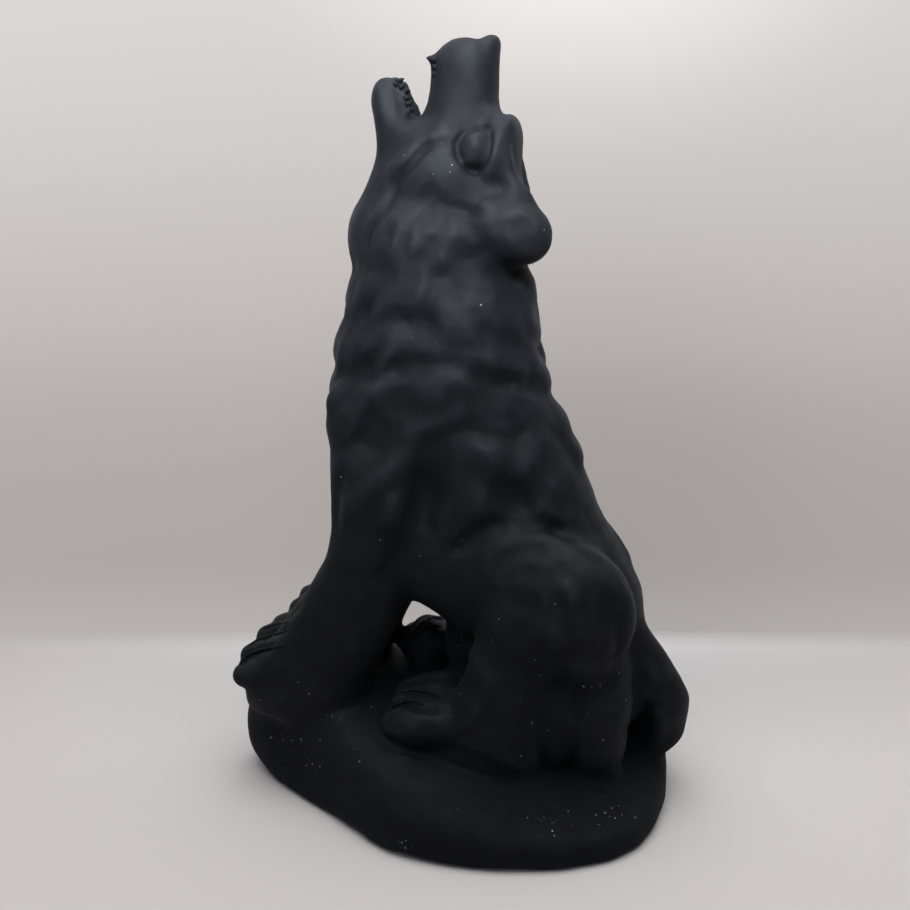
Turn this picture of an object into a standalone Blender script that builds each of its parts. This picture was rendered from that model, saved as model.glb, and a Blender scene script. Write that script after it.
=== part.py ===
"""Howling wolf seated on a rock: one solid cast piece with a flat underside.

The wolf faces -Y, +X is its left side and +Z is up. The tables below are in millimetres.
A level is (height, front, back, middle, half width): one level cut through a mass.
"""
import math

import bpy
import bmesh
from mathutils import Matrix, Vector
from mathutils.bvhtree import BVHTree

MM = 0.001

# Overall size
WOLF_HEIGHT = 200.0          # underside of the rock to the nose
BODY_WIDTH = 1.0             # sideways fullness of the animal
ROCK_RIM = 6.0               # height of the widest line of the rock
LIP_CLEARANCE = 8.0          # how far the front lip of the rock stands off the ground
ROCK_TILT = 0.13             # fall of the rock towards the left side
FAR_STEP = 6.0               # how far the right hind foot is set ahead of the left
FAR_LIFT = 6.5               # how much higher the right feet stand

# Surface
CORE_VOXEL = 1.5             # grain of the rounded masses
SKIN_VOXEL = 0.85            # grain of the carved surface
FACE_LIMIT = 11000           # triangles left on the finished piece

# Feet
TOE_RADIUS = 3.7
TOE_ROOT = 11.0              # how far a toe runs back into its paw

# Coat
LOCK_WIDTH = 2.9             # half width of one lock of the ruff
LOCK_DEPTH = 1.6             # how far a lock stands out

# Head
EAR_RADII = (7.4, 10.6, 8.6)
FAR_EAR_AHEAD = 5.0          # how far the right ear lies ahead of the left
EYE_ALONG = 7.2
EYE_HEIGHT = 171.3
EYE_HALF_WIDTH = 3.1
EYE_HALF_HEIGHT = 4.8

DRAWN_HEIGHT = 200.0         # height at which the tables below are drawn
SQUARENESS = 2.4             # 2 is a true oval, more is fuller in the corners
RING_POINTS = 40
TUBE_POINTS = 16
SIDES = (1, -1)

TRUNK = [
    (44, 4, 49, 0, 16), (52, -6, 51.5, 0, 21), (58, -17, 51, 0, 23), (65, -26, 47.5, 0, 24),
    (72, -31, 43, 0, 24), (79, -33, 38.8, 0, 24), (88, -33.2, 35.8, 0, 24), (97, -30.8, 30.6, 0, 23.8),
    (106, -31, 26.8, 0, 23.4), (115, -32, 22.8, 0, 22.4), (124, -29.6, 20.8, 0, 21), (133, -27.2, 19.8, 0, 19.6),
    (142, -24.4, 19, 0, 18.6), (150, -26.4, 19.2, 0, 17.6), (157, -25.6, 18.6, 0, 16.2), (165, -22.4, 17.6, 0, 14.6),
    (171, -19.8, 16.4, 0, 13), (175.5, -19.6, 15, 0, 11.5), (178, -19, 12, 0, 9.4)]
MUZZLE = [
    (166, -8, 13, 0, 11), (174, -8.6, 12.4, 0, 10.4), (180, -8.4, 11.6, 0, 9.4), (184, -6.6, 11.3, 0, 8.6),
    (188, -6, 11.4, 0, 8), (194, -6.2, 11.7, 0, 7.5), (197.4, -3.6, 11.9, 0, 6.6), (199.4, 0.2, 10.4, 0, 5)]
JAW = [
    (166, -20, -8, 0, 10), (175, -20, -9.4, 0, 9.2), (180, -20.8, -11.2, 0, 8.6), (184.5, -22.4, -12.6, 0, 7.4),
    (188, -21.6, -13.6, 0, 6), (190.6, -19.6, -15.2, 0, 3.8)]
# The scoop of the open jaw and the notch behind the nose, cut as round strips
SCOOP = [(0, -14, 192, 2.4), (0, -12.8, 187, 3), (0, -10.6, 182.5, 3.4)]
NOSE_NOTCH = [(-9, 6.8, 199.4, 1.7), (0, 6.8, 199.2, 1.7), (9, 6.8, 199.4, 1.7)]
FORELEG = [
    (104, -29, 4, 14, 8), (94, -29.5, 0, 16, 10), (84, -29, -4.5, 17.5, 10.5), (75, -28.6, -8.5, 17.5, 10),
    (67, -31, -10, 17, 9.5), (58, -36.6, -10.4, 16, 9.5), (50, -42.5, -12, 15, 9.8), (43, -48, -15, 14, 10.6),
    (36, -53.5, -19, 13, 11.4), (29, -56.5, -22, 12.5, 11.8), (22, -56, -26, 12.5, 10)]
SHIN = [
    (50, 10, 32, 20.5, 8), (42, 8, 29.5, 21.5, 8.2), (34, 4.5, 27.6, 22.5, 8.2),
    (26, 1, 27, 23, 8.4), (18, -1, 27, 23, 8.6), (10, 2, 26, 22, 7)]
HIND_FOOT = [
    (33, -4, 12, 19.5, 7), (30, -8, 17, 19, 9.5), (25, -11, 20, 18.5, 10.8),
    (19, -10, 23, 18.5, 10.6), (12, -4, 24, 18.5, 9)]
TAIL = [
    (2, 42, 53, 7), (1, 45.8, 45, 7.6), (0, 51.2, 36.5, 8.2), (0, 56.8, 27.5, 8.4), (-3, 55.8, 19, 8),
    (-14, 51.5, 15.5, 7.5), (-26, 46, 16.5, 7), (-35, 35, 18, 6), (-39, 24, 19, 4.2)]
# Egg-shaped masses (centre, radii): on the middle line or one side, and on both sides of the animal
SINGLE_LUMPS = [
    ((0, 34, 36), (20, 17, 25)), ((0, 14, 42), (13, 17, 20)), ((-8, -9.7, 34), (6, 5.6, 10.5))]
RUMP, SHOULDER, CHEEK = (
    ((13, 40.5, 31), (12.5, 9.5, 23)), ((15, -14, 104), (10, 18, 13)), ((9, -3, 164), (7.5, 14, 11)))
HAUNCH = ((20, 30.5, 57), (13, 20.5, 19.5))
# Hollows seen from the side: (radius, depth, [(along, height), ...])
HOLLOWS = [
    (1.7, 1.3, [(-4, 172.5), (-8, 167.2), (-12.1, 162.5), (-16.4, 156.5), (-20.2, 150.4)]),
    (1.7, 1.4, [(-10.6, 156.4), (-5.3, 157.8), (-0.4, 158.3), (4, 157.4), (7.9, 155.2)]),
    (1.7, 1.4, [(-14, 128), (-9.5, 129.2), (-5, 129.4), (1, 129.3), (8, 129.1), (14.5, 129)]),
    (2.7, 1.8, [(-16.4, 117.7), (-10.4, 117.6), (-5.1, 117.6), (0.9, 118.6), (8.2, 118), (15.1, 115.9), (20, 113.6)]),
    (1.9, 1.7, [(6, 104.4), (8.6, 103.2), (13.4, 101.2), (18.1, 100.6), (21.5, 102.5)]),
    (2.4, 1.2, [(-12.5, 88), (-16.5, 83.4), (-20.5, 78.5)]),
    (1.8, 1.2, [(-14.8, 109.1), (-17.5, 103.7), (-20.6, 97.9)]),
    (2.0, 1.1, [(8.3, 104.6), (4.9, 103), (0.9, 101.4)]),
    (4.6, 2.4, [(-3.2, 91), (-3.1, 84.6), (-3, 77.5)]),
    (1.8, 1.2, [(-3.2, 76.5), (-7.2, 73.3), (-10.6, 69.8), (-14.5, 64.5)]),
    (5.5, 2.4, [(15.5, 89), (19.8, 85.6), (23.4, 83)]),
    (2.6, 2.4, [(4.6, 72), (8.2, 75.4), (12, 78), (17, 80.2)]),
    (2.0, 1.3, [(17, 80.2), (26, 79.4), (31, 77.4), (37, 74.4), (42.8, 71.6)]),
    (8, 1.2, [(19, 64), (23, 63), (27, 62)]),
    (1.4, 1.2, [(42.3, 64), (43.9, 56.2), (43.5, 48.1), (41, 42)]),
    (1.4, 1.2, [(46.4, 61.7), (47.2, 55.4), (46.6, 48)]),
    (1.2, 1.0, [(39, 60), (40.3, 54), (39.6, 48)]),
    (4, 2.0, [(6.3, 146), (10.3, 145), (14, 143.4), (18, 142)]),
    (3.2, 1.3, [(-2, 142), (2, 140)]),
    (3.4, 1.8, [(11.6, 166), (12.2, 163), (12.6, 160.4)]),
    (2.6, 1.6, [(-24, 92), (-26, 84), (-26, 76)])]
# Hollows of the left side only: under the foot, and between rump and tail
LEFT_HOLLOWS = [
    (1.8, 1.8, [(-13, 22.6), (-7, 20.9), (0, 19.6), (8, 18.6), (16, 16.6), (23, 14.4)]),
    (4.5, 3.2, [(50, 29), (50.5, 22), (50, 15)])]
# Raised parts seen from the side: (radius, height, [(along, height), ...])
SWELLS = [
    (5, 1.6, [(-11, 122.2), (-3, 122.6), (6, 122.8), (14, 121.5)]),
    (3, 1.4, [(-24, 104.6), (-19, 109.8), (-13.5, 113.4), (-6.4, 113.8), (1.4, 113.4), (8.4, 112)]),
    (2.6, 1.2, [(7.1, 107), (1.4, 104.8), (-7.9, 101.6)]),
    (4, 1.4, [(-3.9, 100.5), (-8.9, 94.8), (-15.5, 88.6), (-21.4, 82)]),
    (6, 1.6, [(9, 97.6), (17, 96.5)]),
    (5, 1.4, [(11, 88), (10, 82)]),
    (3.6, 1.8, [(-11, 79), (-10, 86)]),
    (3, 1.3, [(11.5, 62), (13, 70.5), (18.9, 74.5), (27.5, 76), (36, 74.6), (43, 70.6), (47, 64.4)]),
    (3.4, 1.9, [(31, 56), (32.5, 52.5)]),
    (2.6, 1.4, [(33, 68), (37, 62), (38, 54)]),
    (3.0, 1.4, [(-1, 152), (-6, 146), (-9, 140)]),
    (2.8, 1.4, [(5, 152), (1, 147), (-2, 143.5)]),
    (3.2, 1.4, [(10, 137), (6, 133), (4, 130.5)]),
    (2.8, 1.3, [(0, 138), (-4, 133.5), (-6, 130)]),
    (2.6, 1.5, [(26, 101), (23, 95), (21, 91)]),
    (2.4, 1.3, [(31, 93), (29, 88), (28, 84)])]

# Toe tips in side order: (side, [(across, along, height), ...]) and, behind, (across, along, height, radius)
FORE_TOES = [
    (1, [(19.5, -56.2, 32.6), (14, -56.2, 36.2), (8.5, -53.6, 39.8), (3.5, -50.6, 42)]),
    (-1, [(8, -53, 38.4), (14, -52.2, 41), (20, -51.2, 43.2)])]
HIND_TOES = [(25, -6.6, 25.6, 6), (18, -9, 28.5, 4.3), (12, -9.5, 29, 4.3), (6.6, -7, 29, 4)]

# Edge of the rock on one side: (along, half width)
ROCK_EDGE = [
    (-61.5, 3), (-58.5, 8), (-52.5, 13.5), (-44.5, 19), (-36, 24.5), (-28, 30), (-21, 35.5), (-14, 41.2),
    (-7, 45.5), (2, 47.8), (12, 48.6), (22, 48), (36, 44.4), (47, 38), (53, 31), (57, 21), (59, 8)]
# Height of the rock along its middle: (along, height)
ROCK_CREST = [
    (-66, 25), (-50, 31), (-32, 31.5), (-20, 28), (-8, 25), (6, 22.5), (24, 17.5), (42, 14.5), (60, 12.5)]


def body_scale(x, y, z):
    """Place a design point: heights and depths follow the wolf's height."""
    grow = WOLF_HEIGHT / DRAWN_HEIGHT
    return Vector((x * BODY_WIDTH * grow, y * grow, z * grow)) * MM


def close_loft(bm, rings, first, last):
    """Join rings of vertices into one closed tube with a point at either end."""
    count = len(rings[0])
    for lower, upper in zip(rings, rings[1:]):
        for i in range(count):
            j = (i + 1) % count
            bm.faces.new((lower[i], lower[j], upper[j], upper[i]))
    start, end = bm.verts.new(first), bm.verts.new(last)
    for i in range(count):
        j = (i + 1) % count
        bm.faces.new((start, rings[0][j], rings[0][i]))
        bm.faces.new((end, rings[-1][i], rings[-1][j]))


def level_ring(bm, level, side, ahead=0.0, lift=0.0):
    """One level cut: an oval with its own reach to the front and to the back."""
    height, front, back, middle, half = level
    centre = (front + back) / 2
    ring = []
    for i in range(RING_POINTS):
        a = 2 * math.pi * i / RING_POINTS
        x, y = math.sin(a), math.cos(a)
        square = (abs(x) ** SQUARENESS + abs(y) ** SQUARENESS) ** (-1 / SQUARENESS)
        ring.append(bm.verts.new(body_scale(
            side * (middle + half * x * square), centre + (back - front) / 2 * y * square - ahead,
            height + lift)))
    return ring


def stack(bm, levels, side=1, ahead=0.0, lift=0.0):
    """A mass through its level cuts, lowest or highest first."""
    rings = [level_ring(bm, level, side, ahead, lift) for level in levels]
    ends = [body_scale(side * lv[3], (lv[1] + lv[2]) / 2 - ahead, lv[0] + lift)
            for lv in (levels[0], levels[-1])]
    close_loft(bm, rings, ends[0], ends[1])


def tube(bm, stations):
    """A round limb through (x, y, z, radius) stations in design units."""
    plain_tube(bm, [(*(body_scale(*s[:3]) / MM), s[3]) for s in stations])


def plain_tube(bm, stations):
    """A round limb through (x, y, z, radius) stations in millimetres."""
    points = [Vector(s[:3]) * MM for s in stations]
    last = len(points) - 1
    rings, across = [], None
    for i, (point, station) in enumerate(zip(points, stations)):
        along = (points[min(i + 1, last)] - points[max(i - 1, 0)]).normalized()
        across = along.orthogonal() if across is None else across - along * across.dot(along)
        across.normalize()
        up = along.cross(across)
        radius = station[3] * MM
        ring = []
        for k in range(TUBE_POINTS):
            a = 2 * math.pi * k / TUBE_POINTS
            ring.append(bm.verts.new(point + (across * math.cos(a) + up * math.sin(a)) * radius))
        rings.append(ring)
    start = points[0] - (points[1] - points[0]).normalized() * stations[0][3] * MM * 0.6
    end = points[-1] + (points[-1] - points[-2]).normalized() * stations[-1][3] * MM * 0.6
    close_loft(bm, rings, start, end)


def lump(bm, centre, radii, turn=(0, 0, 0)):
    """An egg-shaped mass, turned by degrees about x, y and z."""
    spin = Matrix.Identity(4)
    for axis, degrees in zip("XYZ", turn):
        spin = Matrix.Rotation(math.radians(degrees), 4, axis) @ spin
    size = Matrix.Diagonal((*(r * MM for r in radii), 1))
    place = Matrix.Translation(body_scale(*centre)) @ spin @ size
    bmesh.ops.create_icosphere(bm, subdivisions=3, radius=1, matrix=place)


def crest(along):
    """Height of the rock's middle line."""
    for (y0, z0), (y1, z1) in zip(ROCK_CREST, ROCK_CREST[1:]):
        if along <= y1:
            share = (along - y0) / (y1 - y0)
            return z0 + (z1 - z0) * max(share, 0)
    return ROCK_CREST[-1][1]


def rock_ring(bm, reach, rise, under):
    """One ring of the rock; rise is a share of the height above the rim."""
    outline = [(half, along) for along, half in ROCK_EDGE]
    outline += [(-half, along) for along, half in reversed(ROCK_EDGE)]
    ring = []
    for x, y in outline:
        x, y = x * reach, (y + 4) * reach - 4
        top = crest(y) - ROCK_TILT * x
        lip = LIP_CLEARANCE * max((-36 - y) / 28, 0)
        if under:
            z = rise + lip
        else:
            z = ROCK_RIM + lip + (top - ROCK_RIM - lip) * rise
        ring.append(bm.verts.new(body_scale(x, y, z)))
    return ring


def rock(bm):
    """The rock: a mound with steep sides, raised under the fore paws."""
    below = [(0.5, -4), (0.9, -4), (0.96, -3), (0.985, -0.5), (1.0, 2.5)]
    above = [(1.0, 0.0), (0.995, 0.3), (0.97, 0.55), (0.915, 0.76), (0.83, 0.9), (0.68, 0.97), (0.4, 1.0)]
    rings = [rock_ring(bm, reach, rise, True) for reach, rise in below]
    rings += [rock_ring(bm, reach, rise, False) for reach, rise in above]
    close_loft(bm, rings, body_scale(0, -4, -3), body_scale(0, -4, crest(-4)))


def masses(bm):
    """The rounded masses of the animal and its rock."""
    rock(bm)
    stack(bm, TRUNK)
    stack(bm, MUZZLE)
    stack(bm, JAW)
    for centre, radii in SINGLE_LUMPS:
        lump(bm, centre, radii)
    tube(bm, TAIL)
    for side in SIDES:
        ahead, lift = (FAR_STEP, FAR_LIFT) if side < 0 else (0, 0)
        stack(bm, FORELEG, side, 0, lift * 0.6)
        stack(bm, SHIN, side, ahead, 0)
        stack(bm, HIND_FOOT, side, ahead, lift)
        (x, y, z), radii = HAUNCH
        lump(bm, (side * x, y - ahead, z - lift * 0.5), radii, (-12, 0, 0))
        for (centre, radii), lean in ((RUMP, 0), (SHOULDER, 14), (CHEEK, 0)):
            lump(bm, (side * centre[0], *centre[1:]), radii, (lean, 0, 0))


def hold_largest(bm):
    """Keep the one outer skin."""
    seen, best = set(), []
    for face in bm.faces:
        if face in seen:
            continue
        group, queue = [], [face]
        seen.add(face)
        while queue:
            here = queue.pop()
            group.append(here)
            for edge in here.edges:
                for near in edge.link_faces:
                    if near not in seen:
                        seen.add(near)
                        queue.append(near)
        if len(group) > len(best):
            best = group
    kept = set(best)
    bmesh.ops.delete(bm, geom=[f for f in bm.faces if f not in kept], context="FACES")


def applied(obj):
    """Put the result of an object's modifiers into its own mesh."""
    graph = bpy.context.evaluated_depsgraph_get()
    mesh = bpy.data.meshes.new_from_object(obj.evaluated_get(graph))
    old = obj.data
    obj.modifiers.clear()
    obj.data = mesh
    bpy.data.meshes.remove(old)


def blend(obj, voxel, rounds, amount):
    """Fuse all masses of an object into one skin and round it."""
    fuse = obj.modifiers.new("fuse", "REMESH")
    fuse.mode = "VOXEL"
    fuse.voxel_size = voxel * MM
    fuse.adaptivity = 0.0
    soften = obj.modifiers.new("soften", "SMOOTH")
    soften.factor = amount
    soften.iterations = rounds
    applied(obj)


def skin_point(tree, turn, height):
    """Point and direction of the skin at an angle from the front and at a height."""
    centre = body_scale(0, -4 if height > 90 else 6, height)
    out = Vector((math.sin(math.radians(turn)), -math.cos(math.radians(turn)), 0))
    hit, normal, _, _ = tree.ray_cast(centre + out * 0.15, -out)
    return hit, normal


def fur_lock(bm, tree, turn, top, length, lean=0.0, width=LOCK_WIDTH, depth=LOCK_DEPTH):
    """One lock of the coat lying on the skin, thick at its end."""
    shape = [(0.0, 0.35, -0.5), (0.3, 0.85, 0.15), (0.6, 1.0, 0.55), (0.85, 0.75, 0.7), (1.0, 0.3, 0.4)]
    rings, points = [], []
    for share, wide, lift in shape:
        hit, normal = skin_point(tree, turn + lean * share, top - length * share)
        points.append((hit + normal * depth * lift * MM, normal, wide))
    for i, (point, normal, wide) in enumerate(points):
        along = (points[min(i + 1, 4)][0] - points[max(i - 1, 0)][0]).normalized()
        across = along.cross(normal).normalized()
        up = across.cross(along).normalized()
        ring = []
        for k in range(12):
            a = 2 * math.pi * k / 12
            offset = across * width * wide * math.cos(a) + up * depth * wide * math.sin(a)
            ring.append(bm.verts.new(point + offset * MM))
        rings.append(ring)
    close_loft(bm, rings, points[0][0], points[-1][0])


def coat(bm, tree):
    """Tiers of locks round the neck, the chest and the back."""
    for side in SIDES:
        for i in range(9):
            turn = side * (5 + 10 * i)
            fur_lock(bm, tree, turn, 163 - 0.4 * i, 18 + 2 * (i % 3), side * -8)
        for i in range(9):
            turn = side * (2 + 11 * i)
            fur_lock(bm, tree, turn, 146 + (i % 2), 19 - 2 * (i % 3), side * -8)
        for i in range(7):
            turn = side * (6 + 11 * i)
            fur_lock(bm, tree, turn, 133, 18 - 2 * (i % 3), side * -8)
        for i in range(4):
            turn = side * (4 + 12 * i)
            fur_lock(bm, tree, turn, 119 - i, 16 - 2 * i, side * -3)
    for side in SIDES:
        for i in range(5):
            fur_lock(bm, tree, side * (104 + 15 * i), 138 - 2 * (i % 2), 12, side * 4, LOCK_WIDTH * 1.3)
            fur_lock(bm, tree, side * (98 + 16 * i), 127 - 2 * (i % 2), 12, side * 4, LOCK_WIDTH * 1.4)
    for top, length in ((142, 10), (134, 12), (121, 11), (110, 12), (102, 11)):
        fur_lock(bm, tree, 180, top, length, 0, LOCK_WIDTH * 2)


def toes(bm):
    """The toes of every foot, from the outer to the inner one."""
    for side, tips in FORE_TOES:
        for x, y, z in tips:
            tube(bm, [(side * x, y + TOE_ROOT, z + 2.5, TOE_RADIUS), (side * x, y + 3, z + 1, TOE_RADIUS),
                      (side * x, y, z, TOE_RADIUS * 0.9)])
    for side in SIDES:
        ahead, lift = (FAR_STEP, FAR_LIFT) if side < 0 else (0, 0)
        for x, y, z, wide in HIND_TOES:
            y, z = y - ahead, z + lift
            tube(bm, [(side * x, y + TOE_ROOT, z + 2, wide), (side * x, y, z, wide),
                      (side * x, y - 3, z - 1, wide * 0.85)])


def ears(bm):
    """Two rounded ears laid back along the neck, the far one a little ahead, each with a tuft at its root."""
    for side in SIDES:
        back = 0 if side > 0 else FAR_EAR_AHEAD
        lump(bm, (side * 10.2, 16.8 - back, 151), EAR_RADII, (-18, 0, 0))
        tube(bm, [(side * 9.6, 14.6 - back / 2, 165, 2.8), (side * 9.6, 17 - back / 2, 160.5, 3.6),
                  (side * 9.6, 19 - back, 156.5, 4.2)])
        lump(bm, (side * 13.2, 10.8, 157.2), (2.4, 2.8, 2.2))


def face(bm):
    """Brows, nose, lips and teeth."""
    for side in SIDES:
        tube(bm, [(side * 4, 10.5, 180, 2.2), (side * 7.5, 12.2, 176, 3), (side * 10, 13.6, 169, 3.2),
                  (side * 10, 16, 161, 2.8)])
        lump(bm, (side * 11.0, EYE_ALONG, EYE_HEIGHT), (2.9, EYE_HALF_WIDTH, EYE_HALF_HEIGHT))
        for i in range(5):
            share = i / 4
            x, y, z = side * (3.9 + 1.6 * share), -15 + 3.8 * share, 189 - 8 * share
            tube(bm, [(x, y, z, 1.3), (x, y + 1.9, z + 1.6, 0.5)])
        tube(bm, [(side * 4.5, -5.6, 194, 1.2), (side * 4.3, -7.8, 194.6, 0.6)])
    lump(bm, (0, 9.6, 198.2), (4.2, 2.6, 2.1))


def side_line(bm, tree, side, radius, sink, line):
    """A round strip along a line drawn in side view; sink moves it into the skin."""
    stations = []
    for y, z in line:
        start = body_scale(side * 150, y, z)
        hit, normal, _, _ = tree.ray_cast(start, Vector((-side, 0, 0)))
        if hit is None:
            continue
        centre = (hit - normal * sink * MM) / MM
        stations.append((centre.x, centre.y, centre.z, radius))
    if len(stations) > 1:
        plain_tube(bm, stations)


def eye_rings(bm):
    """A ring round each eye, to be cut away."""
    for side in SIDES:
        rings = []
        for i in range(24):
            a = 2 * math.pi * i / 24
            out = Vector((0, math.cos(a), math.sin(a)))
            middle = Vector((side * 12.6, EYE_ALONG + (EYE_HALF_WIDTH + 0.9) * math.cos(a),
                             EYE_HEIGHT + (EYE_HALF_HEIGHT + 0.9) * math.sin(a)))
            ring = []
            for k in range(8):
                b = 2 * math.pi * k / 8
                p = middle + out * 1.25 * math.cos(b) + Vector((side * 2.6 * math.sin(b), 0, 0))
                ring.append(bm.verts.new(body_scale(*p)))
            rings.append(ring)
        for i in range(24):
            for k in range(8):
                a, b = rings[i], rings[(i + 1) % 24]
                bm.faces.new((a[k], a[(k + 1) % 8], b[(k + 1) % 8], b[k]))


def carve(obj, tree):
    """Cut the hollows and the eye grooves out of the masses."""
    mesh = bpy.data.meshes.new("hollows")
    bm = bmesh.new()
    eye_rings(bm)
    tube(bm, SCOOP)
    tube(bm, NOSE_NOTCH)
    for side in SIDES:
        for radius, depth, line in HOLLOWS + (LEFT_HOLLOWS if side > 0 else []):
            side_line(bm, tree, side, radius, depth - radius, line)
    bmesh.ops.recalc_face_normals(bm, faces=bm.faces[:])
    bm.to_mesh(mesh)
    bm.free()
    cutter = bpy.data.objects.new("hollows", mesh)
    bpy.context.scene.collection.objects.link(cutter)
    blend(cutter, SKIN_VOXEL, 1, 0.3)
    cut = obj.modifiers.new("groove", "BOOLEAN")
    cut.operation = "DIFFERENCE"
    cut.solver = "EXACT"
    cut.object = cutter
    applied(obj)
    bpy.data.objects.remove(cutter, do_unlink=True)


def level_underside(bm):
    """Cut the rock off flat on the ground and close it."""
    cut = bmesh.ops.bisect_plane(bm, geom=bm.verts[:] + bm.edges[:] + bm.faces[:], dist=1e-7,
                                 plane_co=(0, 0, 0), plane_no=(0, 0, 1), clear_inner=True)
    loop = [e for e in cut["geom_cut"] if isinstance(e, bmesh.types.BMEdge)]
    bmesh.ops.holes_fill(bm, edges=loop, sides=0)


def cast_material():
    material = bpy.data.materials.new("matt_black_cast")
    material.use_nodes = True
    shader = material.node_tree.nodes["Principled BSDF"]
    shader.inputs["Base Color"].default_value = (0.012, 0.013, 0.015, 1)
    shader.inputs["Roughness"].default_value = 0.62
    return material


def build():
    for old in list(bpy.data.objects):
        bpy.data.objects.remove(old, do_unlink=True)
    bm = bmesh.new()
    masses(bm)
    bmesh.ops.recalc_face_normals(bm, faces=bm.faces[:])
    mesh = bpy.data.meshes.new("wolf_figurine")
    bm.to_mesh(mesh)
    bm.free()
    obj = bpy.data.objects.new("wolf_figurine", mesh)
    bpy.context.scene.collection.objects.link(obj)
    blend(obj, CORE_VOXEL, 6, 0.5)
    core = bmesh.new()
    core.from_mesh(obj.data)
    tree = BVHTree.FromBMesh(core)
    core.free()
    carve(obj, tree)

    bm = bmesh.new()
    bm.from_mesh(obj.data)
    details = bmesh.new()
    for side in SIDES:
        for radius, height, line in SWELLS:
            side_line(details, tree, side, radius, radius - height, line)
    coat(details, tree)
    toes(details)
    ears(details)
    face(details)
    bmesh.ops.recalc_face_normals(details, faces=details.faces[:])
    extra = bpy.data.meshes.new("details")
    details.to_mesh(extra)
    details.free()
    bm.from_mesh(extra)
    bm.to_mesh(obj.data)
    bm.free()
    bpy.data.meshes.remove(extra)
    blend(obj, SKIN_VOXEL, 3, 0.5)

    bm = bmesh.new()
    bm.from_mesh(obj.data)
    hold_largest(bm)
    level_underside(bm)
    bmesh.ops.triangulate(bm, faces=bm.faces[:])
    faces = len(bm.faces)
    bm.to_mesh(obj.data)
    bm.free()
    thin = obj.modifiers.new("thin", "DECIMATE")
    thin.ratio = FACE_LIMIT / faces
    applied(obj)

    low = [min(v.co[i] for v in obj.data.vertices) for i in range(3)]
    high = [max(v.co[i] for v in obj.data.vertices) for i in range(3)]
    shift = Vector((-(low[0] + high[0]) / 2, -(low[1] + high[1]) / 2, -low[2]))
    obj.data.transform(Matrix.Translation(shift))
    for polygon in obj.data.polygons:
        polygon.use_smooth = True
    print("moved to the middle by", [round(c / MM, 2) for c in shift], "mm")
    obj.data.materials.clear()
    obj.data.materials.append(cast_material())


build()
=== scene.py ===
# %% [markdown]
# # A howling wolf, cast in one piece and painted matt black
# The real figurine is a small casting: a wolf that sits on a rock and howls, about 200 mm tall.
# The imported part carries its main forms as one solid. This script puts the sculptor's finer cuts, the
# grain of the casting, the rubbed edges and the specks of dust on it, and stands it in a small light tent.
# The frame has to be loaded first, because everything below is built on the solid that it brings.

# %% Load the frame
import math
import random

import bmesh
import bpy
import numpy as np
from mathutils import Matrix, Vector
from mathutils.bvhtree import BVHTree


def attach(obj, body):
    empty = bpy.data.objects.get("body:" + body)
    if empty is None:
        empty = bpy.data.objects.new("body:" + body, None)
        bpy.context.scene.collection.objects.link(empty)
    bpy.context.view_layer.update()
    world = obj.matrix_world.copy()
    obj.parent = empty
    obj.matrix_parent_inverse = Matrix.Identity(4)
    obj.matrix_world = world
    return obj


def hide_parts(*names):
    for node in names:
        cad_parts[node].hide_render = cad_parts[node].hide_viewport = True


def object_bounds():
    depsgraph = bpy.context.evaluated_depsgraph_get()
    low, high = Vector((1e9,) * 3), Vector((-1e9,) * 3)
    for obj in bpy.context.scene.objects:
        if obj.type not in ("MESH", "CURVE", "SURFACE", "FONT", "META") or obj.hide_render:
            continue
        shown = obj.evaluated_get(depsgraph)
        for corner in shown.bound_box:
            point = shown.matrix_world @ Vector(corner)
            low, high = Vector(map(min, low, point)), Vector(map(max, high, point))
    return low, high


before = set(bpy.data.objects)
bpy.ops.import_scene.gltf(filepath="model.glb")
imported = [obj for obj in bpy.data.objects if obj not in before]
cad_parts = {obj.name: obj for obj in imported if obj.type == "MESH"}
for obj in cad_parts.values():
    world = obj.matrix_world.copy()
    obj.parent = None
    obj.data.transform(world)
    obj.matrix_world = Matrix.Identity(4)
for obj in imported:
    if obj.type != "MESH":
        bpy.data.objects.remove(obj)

MM = 0.001
cad_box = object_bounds()
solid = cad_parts["wolf_figurine"]
print("solid", [round(v, 4) for v in cad_box[0]], [round(v, 4) for v in cad_box[1]])

# %% [markdown]
# ## Small helpers
# A few jobs come back all through the lesson: adding a thing to the scene, applying its modifiers, reading
# a mesh as rows of numbers and holding it inside the box of the solid. They are written once, here.

# %% Shared helpers
def added(name, data):
    """A new object of the scene around the given data."""
    thing = bpy.data.objects.new(name, data)
    bpy.context.scene.collection.objects.link(thing)
    return thing


def apply_all(thing):
    """Applies every modifier of a thing to its own mesh."""
    graph = bpy.context.evaluated_depsgraph_get()
    graph.update()
    mesh = bpy.data.meshes.new_from_object(thing.evaluated_get(graph))
    mesh.name = thing.name
    thing.modifiers.clear()
    thing.data = mesh


def relax(thing, rounds):
    """Adds a modifier that takes each point half way to its neighbours, a number of times."""
    made = thing.modifiers.new("relax", "SMOOTH")
    made.factor, made.iterations = 0.5, rounds


def opened(mesh):
    """An editable copy of a mesh."""
    shape = bmesh.new()
    shape.from_mesh(mesh)
    return shape


def written(shape, mesh):
    """Writes an editable shape into a mesh and lets go of the shape."""
    shape.to_mesh(mesh)
    shape.free()
    return mesh


def tree_of(thing):
    """A search tree over the faces of a mesh object."""
    shape = opened(thing.data)
    tree = BVHTree.FromBMesh(shape)
    shape.free()
    return tree


def rows_of(mesh, key):
    """The points ("co") or the normals ("normal") of a mesh as rows of three numbers."""
    rows = np.empty(len(mesh.vertices) * 3)
    mesh.vertices.foreach_get(key, rows)
    return rows.reshape(-1, 3)


def number_layer(mesh, name, values):
    """Stores one number for each point of a mesh."""
    mesh.attributes.new(name, "FLOAT", "POINT").data.foreach_set("value", values)


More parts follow.
